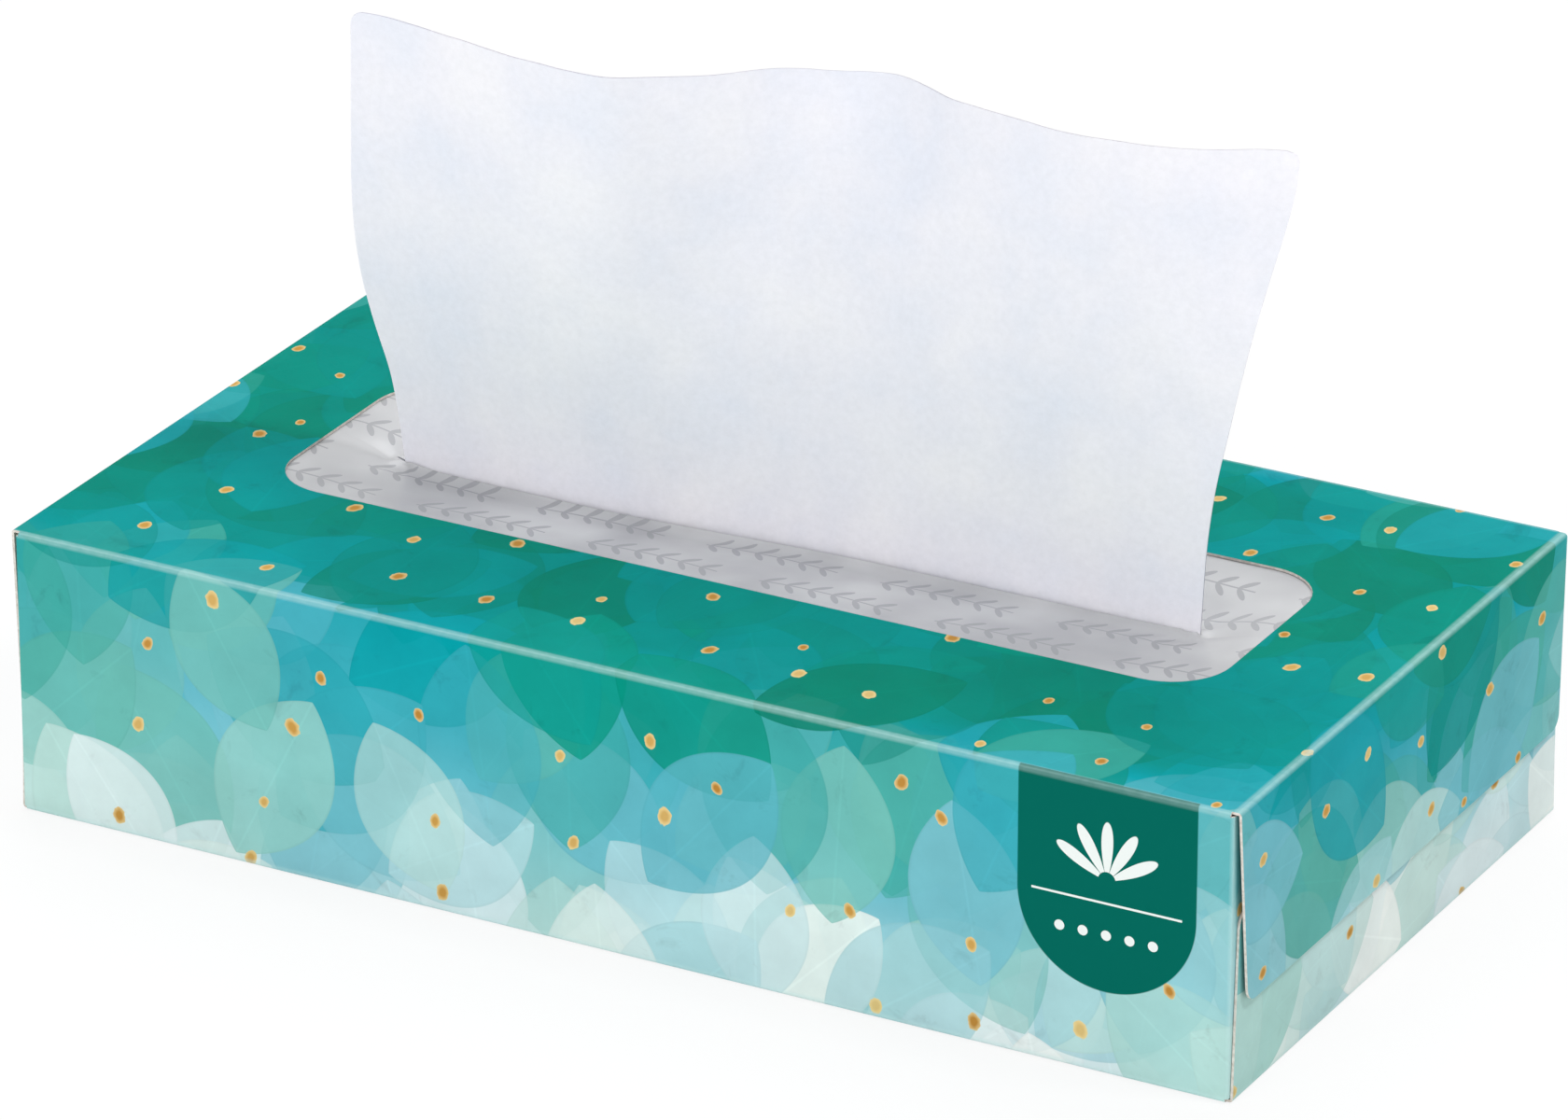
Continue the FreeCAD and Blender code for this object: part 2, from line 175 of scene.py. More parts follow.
QUARTER = math.pi / 2
bpy.ops.object.mode_set(mode="EDIT")
for low, high, end_crease, depth, draw_in in FLAPPED_PANELS:
    lift = FLAP_LIFT if end_crease == LENGTH / 2 else 0
    for end in (-1, 1):
        fold(
            "Y",
            -end * (QUARTER - lift),
            (end * end_crease, 0, HEIGHT),
            lambda spot: end * spot.x > end_crease + TOUCH and low < spot.y < high,
        )
fold("X", -QUARTER, (0, TAB_CREASE, HEIGHT), lambda spot: spot.y < TAB_CREASE - TOUCH)
fold("X", -QUARTER, (0, BOTTOM_CREASE, HEIGHT), lambda spot: spot.y < BOTTOM_CREASE - TOUCH)
fold("X", -QUARTER, (0, FRONT_CREASE, HEIGHT), lambda spot: spot.y < FRONT_CREASE - TOUCH)
fold("X", QUARTER, (0, REAR_CREASE, HEIGHT), lambda spot: spot.y > REAR_CREASE + TOUCH)
bpy.ops.object.mode_set(mode="OBJECT")


def select_only(piece):
    """Selects one piece and makes it the active one."""
    bpy.ops.object.select_all(action="DESELECT")
    piece.select_set(True)
    bpy.context.view_layer.objects.active = piece


def finish_with(piece, kind, **settings):
    """Adds a modifier to a piece and applies it."""
    bpy.context.view_layer.objects.active = piece
    modifier = piece.modifiers.new(kind.lower(), kind)
    for name, value in settings.items():
        setattr(modifier, name, value)
    bpy.ops.object.modifier_apply(modifier=modifier.name)


def linear(code):
    """An sRGB hex colour as linear RGBA."""
    shares = [int(code[start : start + 2], 16) / 255 for start in (1, 3, 5)]
    return (*[s / 12.92 if s <= 0.04045 else ((s + 0.055) / 1.055) ** 2.4 for s in shares], 1)


def node(tree, kind, inputs, stops=(), **settings):
    """Adds a shader node. An input is a value, a node's first output or a socket; stops colour a ramp."""
    made = tree.nodes.new("ShaderNode" + kind)
    for name, value in settings.items():
        setattr(made, name, value)
    for name, value in inputs.items():
        if isinstance(value, bpy.types.Node):
            value = value.outputs[0]
        if isinstance(value, bpy.types.NodeSocket):
            tree.links.new(value, made.inputs[name])
        else:
            made.inputs[name].default_value = value
    for index, (place, code) in enumerate(stops):
        stop = made.color_ramp.elements[index] if index < 2 else made.color_ramp.elements.new(place)
        stop.position = place
        stop.color = linear(code)
    return made


def new_material(name):
    made = bpy.data.materials.new(name)
    made.use_nodes = True
    made.node_tree.nodes.clear()
    return made


# Offset ink on clay-coated board under a satin water varnish: flat even colour with a low soft sheen, whose
# watercolour leaves are one translucent ink over another. Ink cracks thin along the creases, and a highlight
# is painted along them.
INK_EDGE = 0.00018
LEAF_LAYERS = 10
LEAF_CELL = 0.041
LEAF_JITTER = 0.14
LEAF_LENGTH = 0.039
LEAF_BREADTH = 0.0255
LEAF_SMALLEST = 0.78
LEAF_LEAN = 1.15
LEAF_POINT = 0.86
LEAF_RIM = 0.0006
RIM_TONE = 0.88
RIB_HALF = 0.00012
RIB_FADE = 0.0003
RIB_TONE = 1.06
PALER_LEAF = -0.20
DARKER_LEAF = 0.19
THINNEST_INK = 0.45
THICKEST_INK = 0.88
# How dark the print is, from 0 to about 1: on the top, at its long edges, and paling down the sides.
TOP_TONE = 1.04
BRIM_TONE = 0.75
BRIM_WIDTH = 0.014
SIDE_FADE = 0.7
SIDE_FADE_CURVE = 1.6
FLAP_FADE = 1.4
FLAP_FOOT_TONE = 0.5
END_FADE = 0.16
GREENS = (
    (0.0, "#eff2ee"),
    (0.2, "#bcdad4"),
    (0.42, "#84c1b8"),
    (0.64, "#48a79d"),
    (0.82, "#00917f"),
    (1.0, "#007c65"),
)
BLUES = (
    (0.0, "#dce8e9"),
    (0.2, "#a6d0d5"),
    (0.42, "#76b8c4"),
    (0.64, "#42a7b6"),
    (0.82, "#0099a3"),
    (1.0, "#008a84"),
)

printed = new_material("offset_printed_varnished_boxboard")
tree = printed.node_tree
blank = node(tree, "UVMap", {}, uv_map="blank")


def printed_height(point):
    """How high a point of the flat blank stands on the folded carton, from 0 at the foot to 1 at the top."""
    parts = node(tree, "SeparateXYZ", {0: point})
    across = node(tree, "Math", {0: parts.outputs[1]}, operation="ABSOLUTE")
    along = node(tree, "Math", {0: parts.outputs[0]}, operation="ABSOLUTE")
    brim = node(
        tree,
        "MapRange",
        {
            "Value": across,
            "From Min": WIDTH / 2 - BRIM_WIDTH,
            "From Max": WIDTH / 2,
            "To Min": TOP_TONE,
            "To Max": BRIM_TONE,
        },
        interpolation_type="SMOOTHSTEP",
    )
    down = node(tree, "MapRange", {"Value": across, "From Min": WIDTH / 2, "From Max": WIDTH / 2 + HEIGHT})
    down = node(tree, "Math", {0: down, 1: SIDE_FADE_CURVE}, operation="POWER")
    wall = node(tree, "Math", {0: down, 1: -SIDE_FADE, 2: brim}, operation="MULTIPLY_ADD")
    flap = node(
        tree,
        "MapRange",
        {"Value": along, "From Min": LENGTH / 2, "From Max": LENGTH / 2 + HEIGHT, "To Max": FLAP_FADE},
    )
    ends = node(
        tree,
        "MapRange",
        {"Value": along, "From Min": 0.45 * LENGTH, "From Max": 0.53 * LENGTH, "To Max": END_FADE},
        interpolation_type="SMOOTHSTEP",
    )
    drop = node(tree, "Math", {0: flap, 1: ends}, operation="ADD")
    drop = node(tree, "Math", {0: drop, 1: wall}, operation="MULTIPLY")
    climb = node(tree, "Math", {0: flap, 1: FLAP_FOOT_TONE, 2: wall}, operation="MULTIPLY_ADD")
    return node(tree, "Math", {0: climb, 1: drop}, operation="SUBTRACT")


rolls = random.Random(4)
ink = node(tree, "ValToRGB", {"Fac": printed_height(blank)}, stops=BLUES)
for layer in range(LEAF_LAYERS):
    turn = (0, 0, rolls.uniform(0, math.pi))
    shift = (rolls.uniform(0, 9), rolls.uniform(0, 9), 0)
    size = (1 / LEAF_CELL, 1 / LEAF_CELL, 1)
    placing = {"Location": shift, "Rotation": turn, "Scale": size}
    spot = node(tree, "Mapping", {"Vector": blank, **placing}, vector_type="POINT")
    cell = node(
        tree,
        "TexVoronoi",
        {"Vector": spot, "Scale": 1.0, "Randomness": LEAF_JITTER},
        voronoi_dimensions="2D",
        feature="F1",
    )
    chance = node(tree, "SeparateColor", {0: cell.outputs["Color"]})
    centre = node(tree, "Mapping", {"Vector": cell.outputs["Position"], **placing}, vector_type="TEXTURE")
    off = node(tree, "VectorMath", {0: blank, 1: centre}, operation="SUBTRACT")
    lean = node(tree, "MapRange", {"Value": chance.outputs[0], "To Min": -LEAF_LEAN, "To Max": LEAF_LEAN})
    off = node(tree, "VectorRotate", {"Vector": off, "Angle": lean}, rotation_type="Z_AXIS")
    part = node(tree, "SeparateXYZ", {0: off})
    grown = node(tree, "MapRange", {"Value": chance.outputs[1], "To Min": LEAF_SMALLEST})
    share = node(tree, "Math", {0: part.outputs[1], 1: 2 / LEAF_LENGTH}, operation="MULTIPLY")
    share = node(tree, "Math", {0: share, 1: grown}, operation="DIVIDE")
    bow = node(tree, "Math", {0: share, 1: share}, operation="MULTIPLY")
    bow = node(tree, "Math", {0: 1.0, 1: bow}, operation="SUBTRACT", use_clamp=True)
    bow = node(tree, "Math", {0: bow, 1: LEAF_POINT}, operation="POWER")
    bow = node(tree, "Math", {0: bow, 1: LEAF_BREADTH / 2}, operation="MULTIPLY")
    bow = node(tree, "Math", {0: bow, 1: grown}, operation="MULTIPLY")
    from_rib = node(tree, "Math", {0: part.outputs[0]}, operation="ABSOLUTE")
    inside = node(tree, "Math", {0: bow, 1: from_rib}, operation="SUBTRACT")
    cover = node(tree, "MapRange", {"Value": inside, "From Max": INK_EDGE})
    rim = node(tree, "MapRange", {"Value": inside, "From Max": LEAF_RIM, "To Min": RIM_TONE})
    rib_span = {"From Min": RIB_HALF, "From Max": RIB_FADE, "To Min": RIB_TONE}
    rib = node(tree, "MapRange", {"Value": from_rib, **rib_span})
    tone = node(tree, "MapRange", {"Value": chance.outputs[1], "To Min": PALER_LEAF, "To Max": DARKER_LEAF})
    level = node(tree, "Math", {0: printed_height(centre), 1: tone}, operation="ADD")
    green = node(tree, "ValToRGB", {"Fac": level}, stops=GREENS)
    blue = node(tree, "ValToRGB", {"Fac": level}, stops=BLUES)
    hue = node(
        tree,
        "MapRange",
        {"Value": chance.outputs[2], "From Min": 0.3, "From Max": 0.7},
        interpolation_type="SMOOTHSTEP",
    )
    leaf = node(tree, "Mix", {0: hue, 6: green, 7: blue}, data_type="RGBA").outputs[2]
    shade = node(tree, "Math", {0: rim, 1: rib}, operation="MULTIPLY")
    leaf = node(tree, "VectorMath", {0: leaf, "Scale": shade}, operation="SCALE")
    strength = node(tree, "Math", {0: chance.outputs[0], 1: 7.0}, operation="MULTIPLY")
    strength = node(tree, "Math", {0: strength}, operation="FRACT")
    strength = node(tree, "MapRange", {"Value": strength, "To Min": THINNEST_INK, "To Max": THICKEST_INK})
    cover = node(tree, "Math", {0: cover, 1: strength}, operation="MULTIPLY")
    ink = node(tree, "Mix", {0: cover, 6: ink, 7: leaf}, data_type="RGBA").outputs[2]

# Watercolour: wide soft blooms, and a few darker smudges where the wet ink pooled.
BLOOM_SIZE = 0.014
POOL_SIZE = 0.009
bloom = node(tree, "TexNoise", {"Vector": blank, "Scale": 1 / BLOOM_SIZE, "Detail": 5.0, "Roughness": 0.62})
bloom_span = {"From Min": 0.3, "From Max": 0.7, "To Min": 0.93, "To Max": 1.06}
bloom = node(tree, "MapRange", {"Value": bloom, **bloom_span})
pool_look = {"Scale": 1 / POOL_SIZE, "Detail": 4.0, "Roughness": 0.7, "Distortion": 0.6}
pool = node(tree, "TexNoise", {"Vector": blank, **pool_look})
pool_span = {"From Min": 0.60, "From Max": 0.74, "To Min": 1, "To Max": 0.84}
pool = node(tree, "MapRange", {"Value": pool, **pool_span})
washed = node(tree, "Math", {0: bloom, 1: pool}, operation="MULTIPLY")
ink = node(tree, "VectorMath", {0: ink, "Scale": washed}, operation="SCALE")

# Gold seeds, scattered singly, each with a paler rim and a slightly ragged edge.
SEED_CELL = 0.0205
SEED_LENGTH = 0.0037
SEED_BREADTH = 0.0028
SEED_LEAN = 0.6
SEED_SMALLEST = 0.62
SEED_LARGEST = 0.94
SEED_NICKS = 0.0011
SEED_GOLDS = ((0.0, "#b07c35"), (0.45, "#c4964c"), (1.0, "#d6bd7e"))
cell = node(
    tree,
    "TexVoronoi",
    {"Vector": blank, "Scale": 1 / SEED_CELL, "Randomness": 0.8},
    voronoi_dimensions="2D",
    feature="F1",
)
chance = node(tree, "SeparateColor", {0: cell.outputs["Color"]})
ragged = node(tree, "TexNoise", {"Vector": blank, "Scale": 1 / SEED_NICKS, "Detail": 1.0})
off = node(tree, "VectorMath", {0: blank, 1: cell.outputs["Position"]}, operation="SUBTRACT")
lean = node(tree, "MapRange", {"Value": chance.outputs[0], "To Min": -SEED_LEAN, "To Max": SEED_LEAN})
off = node(tree, "VectorRotate", {"Vector": off, "Angle": lean}, rotation_type="Z_AXIS")
off = node(tree, "VectorMath", {0: off, 1: (2 / SEED_BREADTH, 2 / SEED_LENGTH, 0)}, operation="MULTIPLY")
out = node(tree, "VectorMath", {0: off}, operation="LENGTH").outputs["Value"]
grown = node(tree, "MapRange", {"Value": chance.outputs[1], "To Min": SEED_SMALLEST, "To Max": SEED_LARGEST})
out = node(tree, "Math", {0: out, 1: grown}, operation="DIVIDE")
ragged = node(tree, "Math", {0: ragged, 1: 0.5, 2: 0.75}, operation="MULTIPLY_ADD")
out = node(tree, "Math", {0: out, 1: ragged}, operation="MULTIPLY")
seed = node(tree, "MapRange", {"Value": out, "From Min": 0.92, "From Max": 1.02, "To Min": 1, "To Max": 0})
gold = node(tree, "ValToRGB", {"Fac": chance.outputs[2]}, stops=SEED_GOLDS)
rimmed = node(tree, "MapRange", {"Value": out, "From Min": 0.45, "To Max": 0.7})
gold = node(tree, "Mix", {0: rimmed, 6: gold, 7: linear("#ecd79c")}, data_type="RGBA").outputs[2]
ink = node(tree, "Mix", {0: seed, 6: ink, 7: gold}, data_type="RGBA").outputs[2]

# The front panel's dark field: square at the fold and round below, in a denser ink. On it are a fan of five
# leaves, a rule and five dots in white.
FIELD_X = 0.0917
FIELD_RADIUS = 0.01605
FIELD_FOOT = 0.0147
FIELD_TOP = FRONT_CREASE + 0.0008
FIELD_INK = linear("#006256")
WHITE_INK = linear("#e4eae7")
FAN_FOOT = 0.0345
FAN_REACH = 0.0105
FAN_ROOT = 0.0016
FAN_SPREAD = math.radians(75)
FAN_LEAVES_PER_TURN = 12
FAN_BLUNTNESS = 0.8
RULE_HEIGHT = 0.0305
RULE_HALF_LENGTH = 0.0135
RULE_HALF_BREADTH = 0.0002
DOTS = 5
DOTS_HEIGHT = 0.0248
DOT_PITCH = 0.0042
DOT_RADIUS = 0.0009
middle = (FIELD_X, BOTTOM_CREASE + FIELD_FOOT + FIELD_RADIUS, 0)
off = node(tree, "VectorMath", {0: blank, 1: middle}, operation="SUBTRACT")
part = node(tree, "SeparateXYZ", {0: off})
below = node(tree, "Math", {0: part.outputs[1], 1: 0.0}, operation="MINIMUM")
off = node(tree, "CombineXYZ", {0: part.outputs[0], 1: below})
out = node(tree, "VectorMath", {0: off}, operation="LENGTH").outputs["Value"]
field_edge = {"From Min": FIELD_RADIUS - INK_EDGE / 2, "From Max": FIELD_RADIUS + INK_EDGE / 2}
in_field = node(tree, "MapRange", {"Value": out, **field_edge, "To Min": 1, "To Max": 0})
parts = node(tree, "SeparateXYZ", {0: blank})
on_front = node(tree, "Math", {0: parts.outputs[1], 1: FIELD_TOP}, operation="LESS_THAN")
in_field = node(tree, "Math", {0: in_field, 1: on_front}, operation="MULTIPLY")
ink = node(tree, "Mix", {0: in_field, 6: ink, 7: FIELD_INK}, data_type="RGBA").outputs[2]

middle = (FIELD_X, BOTTOM_CREASE + FAN_FOOT, 0)
off = node(tree, "VectorMath", {0: blank, 1: middle}, operation="SUBTRACT")
part = node(tree, "SeparateXYZ", {0: off})
reach = node(tree, "VectorMath", {0: off}, operation="LENGTH").outputs["Value"]
bearing = node(tree, "Math", {0: part.outputs[0], 1: part.outputs[1]}, operation="ARCTAN2")
lobe = node(tree, "Math", {0: bearing, 1: FAN_LEAVES_PER_TURN / 2}, operation="MULTIPLY")
lobe = node(tree, "Math", {0: lobe}, operation="COSINE")
lobe = node(tree, "Math", {0: lobe}, operation="ABSOLUTE")
lobe = node(tree, "Math", {0: lobe, 1: FAN_BLUNTNESS}, operation="POWER")
lobe = node(tree, "Math", {0: lobe, 1: FAN_REACH}, operation="MULTIPLY")
lobe = node(tree, "Math", {0: reach, 1: lobe}, operation="SUBTRACT")
fan = node(tree, "MapRange", {"Value": lobe, "From Min": -INK_EDGE, "From Max": 0, "To Min": 1, "To Max": 0})
bearing = node(tree, "Math", {0: bearing}, operation="ABSOLUTE")
forward = node(tree, "Math", {0: bearing, 1: FAN_SPREAD}, operation="LESS_THAN")
fan = node(tree, "Math", {0: fan, 1: forward}, operation="MULTIPLY")
fan_root = node(tree, "Math", {0: reach, 1: FAN_ROOT}, operation="GREATER_THAN")
fan = node(tree, "Math", {0: fan, 1: fan_root}, operation="MULTIPLY")
ink = node(tree, "Mix", {0: fan, 6: ink, 7: WHITE_INK}, data_type="RGBA").outputs[2]
middle = (FIELD_X, BOTTOM_CREASE + RULE_HEIGHT, 0)
off = node(tree, "VectorMath", {0: blank, 1: middle}, operation="SUBTRACT")
off = node(tree, "VectorMath", {0: off}, operation="ABSOLUTE")
part = node(tree, "SeparateXYZ", {0: off})
near_rule = node(tree, "Math", {0: part.outputs[1], 1: RULE_HALF_BREADTH}, operation="LESS_THAN")
in_rule = node(tree, "Math", {0: part.outputs[0], 1: RULE_HALF_LENGTH}, operation="LESS_THAN")
rule = node(tree, "Math", {0: near_rule, 1: in_rule}, operation="MULTIPLY")
ink = node(tree, "Mix", {0: rule, 6: ink, 7: WHITE_INK}, data_type="RGBA").outputs[2]
middle = (FIELD_X, BOTTOM_CREASE + DOTS_HEIGHT, 0)
off = node(tree, "VectorMath", {0: blank, 1: middle}, operation="SUBTRACT")
part = node(tree, "SeparateXYZ", {0: off})
along = node(tree, "Math", {0: part.outputs[0], 1: DOT_PITCH / 2}, operation="ADD")
along = node(tree, "Math", {0: along, 1: DOT_PITCH}, operation="FLOORED_MODULO")
along = node(tree, "Math", {0: along, 1: DOT_PITCH / 2}, operation="SUBTRACT")
off = node(tree, "CombineXYZ", {0: along, 1: part.outputs[1]})
off = node(tree, "VectorMath", {0: off}, operation="LENGTH").outputs["Value"]
dot = node(tree, "Math", {0: off, 1: DOT_RADIUS}, operation="LESS_THAN")
off = node(tree, "Math", {0: part.outputs[0]}, operation="ABSOLUTE")
in_row = node(tree, "Math", {0: off, 1: DOTS / 2 * DOT_PITCH}, operation="LESS_THAN")
dot = node(tree, "Math", {0: dot, 1: in_row}, operation="MULTIPLY")
ink = node(tree, "Mix", {0: dot, 6: ink, 7: WHITE_INK}, data_type="RGBA").outputs[2]

# The creases, where the folded coating lets the board's paler ground through, together with a painted
# highlight of the rounded fold. The dense field cracks less.
CREASE_WEAR_AND_HIGHLIGHT = 0.0012
CREASE_HIGHLIGHT_LINE = 0.0002
FLAKE_SIZE = 0.0016
DENSE_INK_HOLD = 0.42
parts = node(tree, "SeparateXYZ", {0: blank})
across = node(tree, "Math", {0: parts.outputs[1]}, operation="ABSOLUTE")
end_crease = LENGTH / 2 - LAYER
nearest = None
# The end crease is taken at the +X end only, the lit end: the pale band there is partly painted highlight.
for place, crease in ((across, WIDTH / 2), (across, WIDTH / 2 + HEIGHT), (parts.outputs[0], end_crease)):
    away = node(tree, "Math", {0: place, 1: crease}, operation="SUBTRACT")
    away = node(tree, "Math", {0: away}, operation="ABSOLUTE")
    if nearest:
        away = node(tree, "Math", {0: away, 1: nearest}, operation="MINIMUM")
    nearest = away
flaking = node(tree, "TexNoise", {"Vector": blank, "Scale": 1 / FLAKE_SIZE, "Detail": 3.0})
flaking = node(tree, "MapRange", {"Value": flaking, "To Min": 0.22, "To Max": 0.42})
wear_and_highlight = node(
    tree,
    "MapRange",
    {"Value": nearest, "From Min": 0.55 * CREASE_WEAR_AND_HIGHLIGHT, "From Max": CREASE_WEAR_AND_HIGHLIGHT, "To Min": 1, "To Max": 0},
)
wear_and_highlight = node(tree, "Math", {0: wear_and_highlight, 1: flaking}, operation="MULTIPLY")
# A brighter thin line along the middle of each crease band: painted highlight.
highlight_line_span = {"From Min": CREASE_HIGHLIGHT_LINE, "From Max": 2 * CREASE_HIGHLIGHT_LINE, "To Min": 1.5}
highlight_line = node(tree, "MapRange", {"Value": nearest, **highlight_line_span})
wear_and_highlight = node(tree, "Math", {0: wear_and_highlight, 1: highlight_line}, operation="MULTIPLY")
dense_ink = node(tree, "Math", {0: in_field, 1: -DENSE_INK_HOLD, 2: 1}, operation="MULTIPLY_ADD")
wear_and_highlight = node(tree, "Math", {0: wear_and_highlight, 1: dense_ink}, operation="MULTIPLY")
ink = node(tree, "Mix", {0: wear_and_highlight, 6: ink, 7: linear("#bfe0df")}, data_type="RGBA").outputs[2]

# The varnish lets a little of the board's fibre be felt, and shines unevenly over it.
FIBRE_SIZE = 0.0006
FIBRE_DEPTH = 0.00005
fibre = node(tree, "TexNoise", {"Vector": blank, "Scale": 1 / FIBRE_SIZE, "Detail": 4.0, "Roughness": 0.6})
satin = node(tree, "MapRange", {"Value": fibre, "To Min": 0.48, "To Max": 0.60})
tooth = node(tree, "Bump", {"Height": fibre, "Strength": 0.08, "Distance": FIBRE_DEPTH})
surface = node(
    tree,
    "BsdfPrincipled",
    {"Base Color": ink, "Roughness": satin, "Normal": tooth, "IOR": 1.5, "Specular IOR Level": 0.02},
)
node(tree, "OutputMaterial", {"Surface": surface})

# The blank's inner side: uncoated white-grey recycled board, fibrous and dull.
INNER_FLECK = 0.0012
bare = new_material("uncoated_grey_board")
tree = bare.node_tree
place = node(tree, "TexCoord", {}).outputs["Object"]
fleck = node(tree, "TexNoise", {"Vector": place, "Scale": 1 / INNER_FLECK, "Detail": 5.0, "Roughness": 0.7})
board = node(tree, "ValToRGB", {"Fac": fleck}, stops=((0.3, "#b9b1a4"), (0.6, "#d2cbbf")))
surface = node(tree, "BsdfPrincipled", {"Base Color": board, "Roughness": 0.9, "IOR": 1.5})
node(tree, "OutputMaterial", {"Surface": surface})

# Its die-cut edge: the greyer middle ply of the board shows.
EDGE_FLECK = 0.0008
cut = new_material("die_cut_board_edge")
tree = cut.node_tree
place = node(tree, "TexCoord", {}).outputs["Object"]
fleck = node(tree, "TexNoise", {"Vector": place, "Scale": 1 / EDGE_FLECK, "Detail": 4.0})
board = node(tree, "ValToRGB", {"Fac": fleck}, stops=((0.3, "#c0b7ad"), (0.7, "#e2dcd5")))
surface = node(tree, "BsdfPrincipled", {"Base Color": board, "Roughness": 0.95, "IOR": 1.5})
node(tree, "OutputMaterial", {"Surface": surface})

for material in (printed, bare, cut):
    carton.data.materials.append(material)
FOLD_ANGLE = math.radians(40)
finish_with(carton, "BEVEL", width=FOLD_RADIUS, segments=5, limit_method="ANGLE", angle_limit=FOLD_ANGLE)
finish_with(carton, "SOLIDIFY", thickness=BOARD, offset=-1, material_offset=1, material_offset_rim=2)
select_only(carton)
bpy.ops.object.shade_smooth_by_angle(angle=math.radians(35))
finish_with(carton, "WEIGHTED_NORMAL", keep_sharp=True)
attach(carton, "root")
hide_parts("carton")

# Window. One rectangle of thin blown polyethylene film, glued flat under the top panel round the mouth. A
# slit runs along its middle. The film sags a little to the slit, and its lips turn up where they grip the
# sheet.
film_low, film_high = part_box("window_film")
FILM_LENGTH = film_high.x - film_low.x
FILM_WIDTH = film_high.y - film_low.y
FILM_GLUE = 0.00006
FILM_TOP = HEIGHT - BOARD - FILM_GLUE
FILM_THICKNESS = 0.00005
FILM_SAG = 0.0029
SLACK_DEPTH = 0.00042
SHORT_WAVE = 0.0085
LONG_WAVE = 0.0131
SLIT_HALF = 0.0775
SLIT_GAPE = 0.0019
GAPE_REACH = 0.008
SLIT_DRAWN = 0.0030
DRAWN_LEFT = -0.085
DRAWN_LEFT_RUN = 0.020
DRAWN_RIGHT = 0.020
DRAWN_RIGHT_RUN = 0.060
SLIT_END_CREASES = 0.00018
SLIT_END_REACH = 0.011
LIP_WIDTH = 0.0035
LIP_RISE = 0.0011
LIP_RUN_OUT = 0.0012
END_RISE = 0.016
COLUMNS = 202
ROWS = 56
ROW_CROWDING = 1.45

bpy.ops.object.select_all(action="DESELECT")
bpy.ops.mesh.primitive_grid_add(x_subdivisions=COLUMNS, y_subdivisions=ROWS, size=2, location=(0, 0, 0))
film = bpy.context.object
film.name = "slit_film"
bpy.ops.object.mode_set(mode="EDIT")
pick("EDGE", lambda middle: abs(middle.y) < TOUCH and abs(middle.x) * FILM_LENGTH / 2 < SLIT_HALF)
bpy.ops.mesh.edge_split(type="EDGE")
bpy.ops.object.mode_set(mode="OBJECT")
lip_side = {}
for face in film.data.polygons:
    for index in face.vertices:
        lip_side[index] = math.copysign(1, face.center.y)


def ease(share):
    """A smooth step from 0 to 1."""
    share = min(max(share, 0), 1)
    return share * share * (3 - 2 * share)


def slit_drift(x):
    """How far the sheet has drawn the slit forward: most left of its middle, and little at its ends."""
    from_right = ease((DRAWN_RIGHT - x) / DRAWN_RIGHT_RUN)
    from_left = ease((x - DRAWN_LEFT) / DRAWN_LEFT_RUN)
    return -SLIT_DRAWN * from_right * from_left


def film_height(x, across):
    """The film's sag, slack waves, creases at the slit's ends and turned-up lips, from the glued plane."""
    inward = MOUTH_WIDTH / 2 - abs(across)
    depth = min(max(inward / (MOUTH_WIDTH / 2), 0), 1)
    ends = ease((MOUTH_LENGTH / 2 - abs(x)) / END_RISE)
    sag = FILM_SAG * depth**1.15 * ends
    loose = 4 * depth * (1 - depth) * ends
    slack = 0.20 * math.sin(x / SHORT_WAVE + 40 * across)
    slack += 0.26 * math.sin(x / LONG_WAVE - 55 * across + 1.3)
    slack += 0.45 * noise.noise(Vector((x / 0.016, across / 0.009, 2.0)))
    radial = math.atan2(across, SLIT_HALF - 0.004 - abs(x))
    pull = math.exp(-(((abs(x) - SLIT_HALF) / SLIT_END_REACH) ** 2)) * math.cos(7 * radial) * depth
    lip = max(1 - abs(across) / LIP_WIDTH, 0) ** 2 * ease((SLIT_HALF - abs(x)) / LIP_RUN_OUT)
    return -sag + SLACK_DEPTH * loose * slack + SLIT_END_CREASES * pull * ends + LIP_RISE * lip


for vertex in film.data.vertices:
    x = vertex.co.x * FILM_LENGTH / 2
    across = math.copysign(abs(vertex.co.y) ** ROW_CROWDING, vertex.co.y) * FILM_WIDTH / 2
    opened = SLIT_GAPE / 2 * math.sqrt(max(1 - (x / SLIT_HALF) ** 2, 0))
    opened *= max(1 - abs(across) / GAPE_REACH, 0)
    shifted = across + lip_side[vertex.index] * opened
    shifted += slit_drift(x) * ease(1 - abs(across) / (MOUTH_WIDTH / 2))
    vertex.co = (x, MOUTH_SHIFT + shifted, FILM_TOP + film_height(x, across))
finish_with(film, "SOLIDIFY", thickness=FILM_THICKNESS, offset=-1)
select_only(film)
bpy.ops.object.shade_smooth_by_angle(angle=math.radians(50))

# Blown polyethylene, faintly milky, with a soft gloss that runs along its slack waves. Rows of small leaf
# sprays are printed in pale grey, each row set half a spray along from the last.
SPRAY_PITCH = 0.033
SPRAY_HALF = 0.0125
SPRAY_ROW = 0.0118
SPRAY_BOW = 0.0016
STEM_HALF = 0.00022
SPRAY_LEAF_PITCH = 0.0042
SPRAY_LEAF_OFF_STEM = 0.0017
SPRAY_LEAF_HALF_LENGTH = 0.0021
SPRAY_LEAF_HALF_BREADTH = 0.0006
SPRAY_LEAN = math.radians(52)
SPRAY_INK = 0.6
HAZE_SIZE = 0.022
RIPPLE_SIZE = 0.004
RIPPLE_DEPTH = 0.0004

